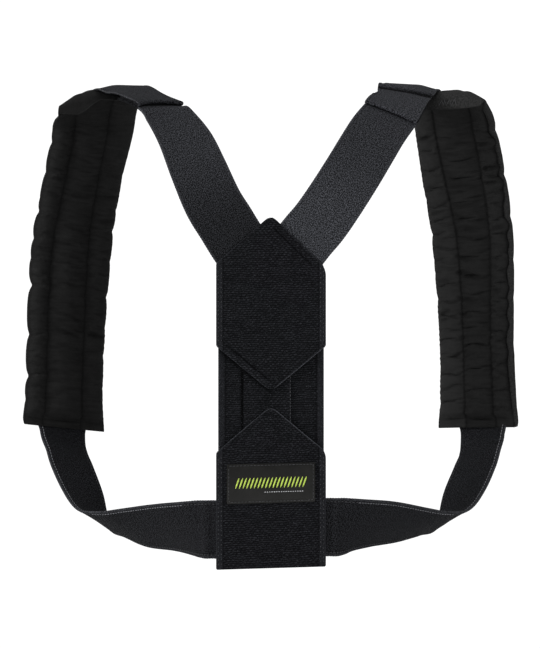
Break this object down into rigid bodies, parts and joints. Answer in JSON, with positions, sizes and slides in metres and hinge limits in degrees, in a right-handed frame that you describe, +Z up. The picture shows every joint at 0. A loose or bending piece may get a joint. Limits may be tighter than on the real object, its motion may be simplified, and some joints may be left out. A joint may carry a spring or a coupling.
{
  "type": "posture corrector",
  "caption": "Soft posture corrector in its worn shape: pointed ribbed back panel with flaps, elastic shoulder straps, quilted shoulder pads and under-arm straps that close the arm loops.",
  "frame": {"origin": "midway between the shoulder rests, on the wearer's middle plane, level with the underside of the shoulder straps at their highest point", "axes": "+Z up, +Y the way the wearer faces, +X to the wearer's right"},
  "size_m": [0.4463, 0.1649, 0.4273],
  "materials": {
    "panel_webbing": "ribbed elastic webbing, matte",
    "strap_webbing": "fine woven elastic webbing, matte",
    "pad_cloth": "thin woven cover over padding, soft sheen",
    "label_cloth": "smooth woven label"
  },
  "bodies": {
    "root": {"back_panel": "panel_webbing", "upper_flap": "panel_webbing", "lower_flap": "panel_webbing", "centre_strip": "panel_webbing", "label": "label_cloth", "shoulder_strap_left": "strap_webbing", "shoulder_strap_right": "strap_webbing", "shoulder_hem_left": "strap_webbing", "shoulder_hem_right": "strap_webbing", "shoulder_pad_left": "pad_cloth", "shoulder_pad_right": "pad_cloth", "lower_strap_left": "strap_webbing", "lower_strap_right": "strap_webbing"}
  },
  "joints": []
}
